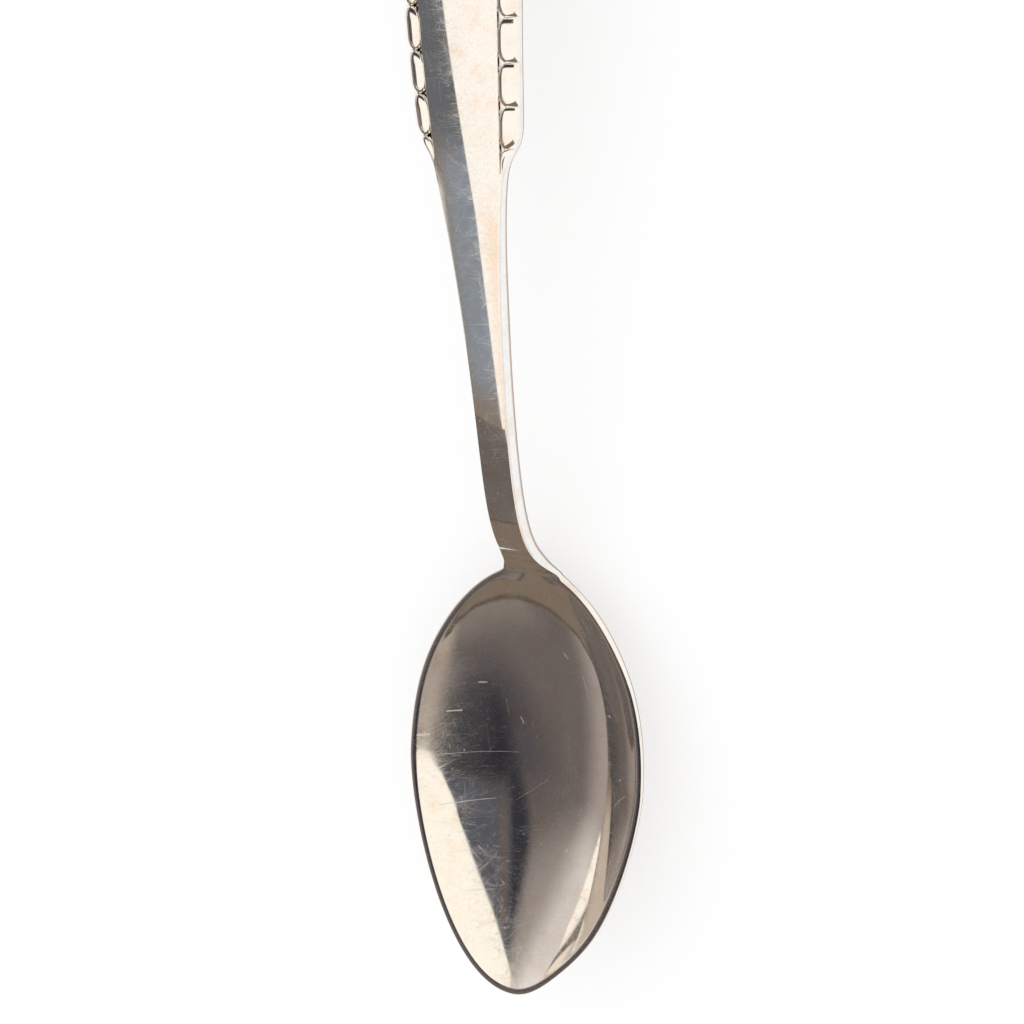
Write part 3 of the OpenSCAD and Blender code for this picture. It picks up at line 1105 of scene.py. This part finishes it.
@dataclass(frozen=True)
class Studio:
    """The white studio, whose painted walls only the metal's reflections see."""

    sky: Painting = SKY
    card: Painting = HANDLE_CARD
    card_height: float = 46.0
    card_low: Spot = (-90.0, -30.0)
    card_high: Spot = (60.0, 120.0)
    metal: float = 0.93
    least_rise: float = 0.02
    floor_tone: float = 0.6
    floor_glow: float = 0.42
    floor_size: float = 4.0

    def make_sky(self) -> None:
        """Builds the world's light."""
        world = bpy.data.worlds.new("studio")
        bpy.context.scene.world = world
        world.use_nodes = True
        nodes = Nodes(world.node_tree)
        way = nodes.add("ShaderNodeTexCoord", {}).outputs["Generated"]
        x, y, z = nodes.split(way)
        rise = nodes.math("MAXIMUM", nodes.math("ADD", z, 1.0), self.least_rise)
        place = nodes.join(nodes.math("DIVIDE", x, rise), nodes.math("DIVIDE", y, rise), 1.0)
        seen = nodes.vector("SCALE", self.sky.paint(nodes, place))
        seen.node.inputs["Scale"].default_value = 1 / self.metal
        glossy = nodes.add("ShaderNodeLightPath", {}).outputs["Is Glossy Ray"]
        colour = nodes.blend(glossy, (1.0, 1.0, 1.0), seen)
        self_lit = world.node_tree.nodes["Background"]
        world.node_tree.links.new(colour, self_lit.inputs["Color"])

    def plane(self, name: str, low: Place, high: Place) -> bpy.types.Object:
        """Makes a level rectangle.

        Args:
            name: name of the object.
            low: its left front corner in metres.
            high: its right back corner in metres.

        Returns:
            The rectangle's object, which belongs to the stage.
        """
        corners = [(low[0], low[1]), (high[0], low[1]), (high[0], high[1]), (low[0], high[1])]
        data = bpy.data.meshes.new(name)
        data.from_pydata([(x, y, low[2]) for x, y in corners], [], [(0, 1, 2, 3)])
        piece = bpy.data.objects.new(name, data)
        bpy.context.scene.collection.objects.link(piece)
        return piece

    def make_card(self) -> None:
        """Builds the painted card above the handle, which only reflections see."""
        low = (self.card_low[0] * MM, self.card_low[1] * MM, self.card_height * MM)
        high = (self.card_high[0] * MM, self.card_high[1] * MM, self.card_height * MM)
        card = self.plane("handle_card", low, high)
        for ray in ("camera", "diffuse", "shadow", "transmission", "volume_scatter"):
            setattr(card, f"visible_{ray}", False)
        material = bpy.data.materials.new("handle_card")
        material.use_nodes = True
        material.node_tree.nodes.clear()
        nodes = Nodes(material.node_tree)
        at = nodes.add("ShaderNodeTexCoord", {}).outputs["Object"]
        x, y, _ = nodes.split(at)
        place = nodes.join(nodes.math("DIVIDE", x, MM), nodes.math("DIVIDE", y, MM), 1.0)
        glow = nodes.add("ShaderNodeEmission", {"Color": self.card.paint(nodes, place), "Strength": 1 / self.metal})
        nodes.add("ShaderNodeOutputMaterial", {0: glow.outputs[0]})
        card.data.materials.append(material)

    def make_floor(self) -> None:
        """Builds the pale floor."""
        half = self.floor_size / 2
        floor = self.plane("floor", (-half, -half, 0), (half, half, 0))
        material = bpy.data.materials.new("floor")
        material.use_nodes = True
        shader = material.node_tree.nodes["Principled BSDF"]
        shader.inputs["Base Color"].default_value = (self.floor_tone, self.floor_tone, self.floor_tone, 1)
        shader.inputs["Roughness"].default_value = 1
        shader.inputs["Specular IOR Level"].default_value = 0
        shader.inputs["Emission Color"].default_value = (1, 1, 1, 1)
        shader.inputs["Emission Strength"].default_value = self.floor_glow
        floor.data.materials.append(material)


@dataclass(frozen=True)
class Hairlines:
    """A layer of fine scratches that run one way."""

    angle: float
    across: float
    along: float
    width: float
    share: float
    seed: float
    cluster_across: float = 0.12
    cluster_shift: float = 7.0
    cluster_fade: float = 0.1

    def cover(self, nodes: Nodes, x: bpy.types.NodeSocket, y: bpy.types.NodeSocket) -> bpy.types.NodeSocket:
        """Builds the share that the scratches cover.

        Args:
            nodes: the tree to build it in.
            x: place across the spoon in millimetres.
            y: place along the spoon in millimetres.

        Returns:
            The share from 0 to 1.
        """
        c, s = math.cos(math.radians(self.angle)), math.sin(math.radians(self.angle))
        flat = nodes.join(x, y, 1.0)
        long = nodes.vector("DOT_PRODUCT", flat, (c * self.along, s * self.along, self.seed))
        wide = nodes.vector("DOT_PRODUCT", flat, (-s * self.across, c * self.across, self.seed))
        ripple = nodes.noise(nodes.join(long, wide, self.seed), 1.0, 0)
        thin = nodes.ramp(nodes.math("ABSOLUTE", nodes.math("SUBTRACT", ripple, 0.5)), 0.0, self.width, 1, 0)
        close = nodes.join(long, nodes.math("MULTIPLY", wide, self.cluster_across), self.seed + self.cluster_shift)
        cluster = nodes.ramp(nodes.noise(close, 1.0, 1), self.share, self.share + self.cluster_fade)
        return nodes.math("MULTIPLY", thin, cluster)


@dataclass(frozen=True)
class Mark:
    """One scratch between two places, in millimetres from the middle of the spoon."""

    start: Spot
    end: Spot
    width: float

    def cover(self, nodes: Nodes, place: bpy.types.NodeSocket) -> bpy.types.NodeSocket:
        """Builds the share that the scratch covers.

        Args:
            nodes: the tree to build it in.
            place: a level place in millimetres.

        Returns:
            The share from 0 to 1.
        """
        ax, ay = self.start
        bx, by = self.end[0] - ax, self.end[1] - ay
        size = bx * bx + by * by
        away = nodes.vector("SUBTRACT", place, (ax, ay, 0))
        share = nodes.math("DIVIDE", nodes.vector("DOT_PRODUCT", away, (bx, by, 0)), size)
        share.node.use_clamp = True
        nearest = nodes.join(nodes.math("MULTIPLY", share, bx), nodes.math("MULTIPLY", share, by), 0)
        near = nodes.vector("LENGTH", nodes.vector("SUBTRACT", away, nearest))
        return nodes.ramp(near, self.width / 2, self.width, 1, 0)


@dataclass(frozen=True)
class Clouds:
    """A cloudy pattern, by the size and detail of its noise and the levels between which it fades in."""

    scale: float
    detail: float
    rough: float
    low: float
    high: float

    def cover(self, nodes: Nodes, place: object, start: float = 0, end: float = 1) -> bpy.types.NodeSocket:
        """Builds the pattern's strength, which goes from start to end."""
        noise = nodes.noise(place, self.scale, self.detail, self.rough)
        return nodes.ramp(noise, self.low, self.high, start, end)


@dataclass(frozen=True)
class SilverFinish:
    """Worn, polished silver with scratches, pits and light tarnish."""

    slot: str
    lines: tuple[Hairlines, ...]
    marks: tuple[Mark, ...] = ()
    tint: Colour = (0.95, 0.935, 0.91)
    tarnish: Colour = (0.93, 0.84, 0.76)
    stains: Clouds = Clouds(0.45, 4, 0.65, 0.45, 0.75)
    # Colour of a painted dark reflection line along the edges of the side walls.
    painted_reflection_tint: Colour = (0.4, 0.3, 0.24)
    grain: float = 0.1
    grain_tint: Colour = (0.45, 0.4, 0.36)
    specks: Clouds = Clouds(3.5, 4, 0.65, 0.4, 0.75)
    roughness: float = 0.02
    mottle: float = 0.03
    mottling: Clouds = Clouds(0.35, 4, 0.6, 0.3, 0.75)
    wave: float = 0.001
    wave_scale: float = 0.5
    wave_detail: float = 2
    scratch_roughness: float = 0.38
    mark_roughness: float = 0.62
    scratch_depth: float = 0.0008
    pit_scale: float = 0.5
    pit_size: float = 0.05
    pit_fade: float = 1.8
    haze: tuple[Patch, ...] = ()
    haze_roughness: float = 0.22
    haze_least: float = 0.4
    haze_grain: Clouds = Clouds(5.0, 5, 0.7, 0.3, 0.7)

    def make(self) -> bpy.types.Material:
        """Builds the material.

        Returns:
            The new material.
        """
        material = bpy.data.materials.new(f"worn_{self.slot}")
        material.use_nodes = True
        nodes = Nodes(material.node_tree)
        shader = material.node_tree.nodes["Principled BSDF"]
        at = nodes.vector("SCALE", nodes.add("ShaderNodeTexCoord", {}).outputs["Object"])
        at.node.inputs["Scale"].default_value = 1 / MM
        x, y, _ = nodes.split(at)
        scratch = None
        for line in self.lines:
            cover = line.cover(nodes, x, y)
            scratch = cover if scratch is None else nodes.math("MAXIMUM", scratch, cover)
        flat = nodes.join(x, y, 0.0)
        cell = nodes.add("ShaderNodeTexVoronoi", {"Vector": at, "Scale": self.pit_scale}).outputs["Distance"]
        pit = self.pit_size * self.pit_scale
        bold = nodes.ramp(cell, pit, pit * self.pit_fade, 1, 0)
        for mark in self.marks:
            bold = nodes.math("MAXIMUM", bold, mark.cover(nodes, flat))
        wear = nodes.math("MAXIMUM", scratch, bold)
        rough = self.mottling.cover(nodes, at, self.roughness, self.roughness + self.mottle)
        dull = None
        for patch in self.haze:
            cover = patch.cover(nodes, nodes.join(x, y, 1.0))
            dull = cover if dull is None else nodes.math("MAXIMUM", dull, cover)
        if dull is not None:
            grain = self.haze_grain.cover(nodes, at, self.haze_least)
            misty = nodes.math("MULTIPLY", nodes.math("MULTIPLY", dull, grain), self.haze_roughness)
            rough = nodes.math("ADD", rough, misty)
        dulled = nodes.math("MULTIPLY", scratch, self.scratch_roughness)
        marked = nodes.math("MULTIPLY", bold, self.mark_roughness)
        rough = nodes.math("ADD", rough, nodes.math("MAXIMUM", dulled, marked))
        wave = nodes.math("MULTIPLY", nodes.noise(at, self.wave_scale, self.wave_detail), self.wave)
        height = nodes.math("SUBTRACT", wave, nodes.math("MULTIPLY", wear, self.scratch_depth))
        bump = nodes.add("ShaderNodeBump", {"Height": height, "Distance": MM, "Strength": 1.0})
        tree = material.node_tree
        metal = nodes.blend(self.stains.cover(nodes, at), self.tint, self.tarnish)
        metal = nodes.blend(self.specks.cover(nodes, at, 0, self.grain), metal, self.grain_tint)
        # Painted reflection: darkens the base colour along the edges of the side walls, where a dark reflection line is
        # painted.
        edge = nodes.add("ShaderNodeAttribute", {}, attribute_name="painted_edge_reflection").outputs["Fac"]
        metal = nodes.blend(edge, metal, self.painted_reflection_tint)
        tree.links.new(metal, shader.inputs["Base Color"])
        tree.links.new(rough, shader.inputs["Roughness"])
        tree.links.new(bump.outputs[0], shader.inputs["Normal"])
        shader.inputs["Metallic"].default_value = 1
        return material


FINE_LINES = tuple(
    Hairlines(angle, across, along, width, share, seed)
    for angle, across, along, width, share, seed in (
        (8, 5.0, 0.12, 0.005, 0.46, 1.3),
        (52, 6.5, 0.16, 0.005, 0.47, 5.1),
        (98, 5.5, 0.14, 0.005, 0.46, 9.7),
        (141, 6.0, 0.17, 0.005, 0.48, 13.9),
        (170, 9.0, 0.25, 0.006, 0.47, 21.4),
        (31, 8.0, 0.22, 0.005, 0.48, 27.2),
    )
)
BOWL_SILVER = SilverFinish(
    "bowl_silver",
    FINE_LINES,
    haze=(Patch((0, 0, 0), ((-14, -38), (-14, -51), (-8, -52), (-6, -46), (-8, -38)), 5),),
)
SHANK_SILVER = SilverFinish("shank_silver", FINE_LINES, grain=0.16)
BEAD_SILVER = SilverFinish("bead_silver", FINE_LINES[:2], wave=0.0005, pit_scale=0.8)


@dataclass(frozen=True)
class PhotoCamera:
    """The camera at the photograph's viewing angle."""

    place: Place = (0.186877, 0.092771, 0.301692)
    forward: Place = (-0.51024, -0.30639, -0.80361)
    right: Place = (0.84963, -0.03465, -0.52625)
    focal_pixels: float = 3400.0
    image_pixels: float = 1024.0
    sensor_width: float = 36.0
    nearest: float = 0.01
    farthest: float = 20.0
    cast_rounds: int = 60

    def axes(self) -> tuple[Vector, Vector, Vector]:
        """Squares the camera's directions.

        Returns:
            The directions to the picture's right, up it and back from it.
        """
        back = -Vector(self.forward).normalized()
        right = Vector(self.right)
        right = (right - back * right.dot(back)).normalized()
        return right, back.cross(right), back

    def spot(self, pixel: Spot, height: Callable[[float, float], float]) -> Spot:
        """Finds the level place that a pixel of the photo shows on a surface.

        Args:
            pixel: the pixel, counted from the photo's upper left corner.
            height: gives the surface's height over a level place.

        Returns:
            The place in millimetres from the middle of the spoon.
        """
        right, up, back = self.axes()
        half = self.image_pixels / 2
        ray = right * (pixel[0] - half) + up * (half - pixel[1]) - back * self.focal_pixels
        eye = Vector(self.place) / MM
        x, y = 0.0, 0.0
        for _ in range(self.cast_rounds):
            run = (height(x, y) - eye.z) / ray.z
            x, y = eye.x + ray.x * run, eye.y + ray.y * run
        return x, y

    def make(self) -> bpy.types.Object:
        """Builds the camera and makes it the scene's own.

        Returns:
            The camera's object.
        """
        data = bpy.data.cameras.new("photo_camera")
        data.sensor_width = self.sensor_width
        data.lens = self.focal_pixels / self.image_pixels * self.sensor_width
        data.clip_start = self.nearest
        data.clip_end = self.farthest
        camera = bpy.data.objects.new("photo_camera", data)
        turn = Matrix(self.axes()).transposed()
        camera.matrix_world = Matrix.Translation(self.place) @ turn.to_4x4()
        bpy.context.scene.collection.objects.link(camera)
        bpy.context.scene.camera = camera
        return camera


@dataclass(frozen=True)
class PhotoScratch:
    """A bold scratch in the bowl, by the photo's pixels at its two ends and its width in millimetres."""

    start: Spot
    end: Spot
    width: float = 0.09

    def on(self, bowl: Bowl, camera: PhotoCamera) -> Mark:
        """Lays the scratch on the inside of the bowl."""
        return Mark(camera.spot(self.start, bowl.inside), camera.spot(self.end, bowl.inside), self.width)


BOWL_SCRATCHES = {
    "nick below the heel": PhotoScratch((564, 653), (568, 659)),
    "scratch on the right wall": PhotoScratch((583, 677), (589, 699), 0.06),
    "level nick at the upper left": PhotoScratch((447, 711), (462, 710)),
    "broad nick at the left rim": PhotoScratch((418, 735), (429, 734), 0.16),
    "nick at the field's upper edge": PhotoScratch((479, 682), (487, 682)),
    "nick in the middle": PhotoScratch((521, 717), (524, 723)),
    "long line": PhotoScratch((444, 754), (519, 752), 0.022),
    "lower line": PhotoScratch((439, 805), (496, 798), 0.035),
    "rising line": PhotoScratch((516, 800), (548, 780), 0.015),
    "dot on the right wall": PhotoScratch((609, 716), (610, 717), 0.12),
    "dot at the right rim": PhotoScratch((620, 780), (620, 781), 0.12),
    "dot near the tip": PhotoScratch((566, 850), (567, 851), 0.12),
}


def main() -> None:
    """Builds the spoon and its studio."""
    logging.basicConfig(level=logging.INFO, format="%(name)s: %(message)s")
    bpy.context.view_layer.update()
    form = SpoonForm()
    outline = Outline(form)
    camera = PhotoCamera()
    bowl, stem, handle = (kind(form, outline) for kind in (Bowl, Stem, Handle))
    marks = tuple(scratch.on(bowl, camera) for scratch in BOWL_SCRATCHES.values())
    for name, mark in zip(BOWL_SCRATCHES, marks):
        LOG.info("%s runs from %.2f, %.2f to %.2f, %.2f", name, *mark.start, *mark.end)
    bowl_silver = replace(BOWL_SILVER, marks=marks)
    made = {finish.slot: finish.make() for finish in (bowl_silver, SHANK_SILVER, BEAD_SILVER)}
    finishes = {"bowl": bowl_silver, "stem": SHANK_SILVER, "handle": SHANK_SILVER}
    seam = outline.length_at(form.bowl.length + form.shank.neck_seam)
    joint = outline.length_at(form.bowl.length + form.shank.handle_seam)
    end = float(outline.s[-1])
    pieces = {
        "bowl": PieceMesh("bowl_silver", form).build(bowl.rings(0, seam), False, True, bowl.painted_edge_reflection()),
        "stem": PieceMesh("stem_silver", form).build(stem.rings(seam, joint), True, True, stem.painted_edge_reflection()),
        "handle": PieceMesh("handle_silver", form).build(handle.rings(joint, end), True, False, handle.painted_edge_reflection()),
    }
    pieces.update(BeadedBorder(form).build())
    for node, piece in pieces.items():
        finish = finishes.get(node, BEAD_SILVER)
        piece.data.materials.append(made[finish.slot])
        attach(piece, ROOT)
        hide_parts(node)
    camera.make()
    bpy.context.scene.view_settings.view_transform = "Standard"
    studio = Studio()
    studio.make_sky()
    studio.make_card()
    studio.make_floor()


if __name__ == "__main__":
    main()
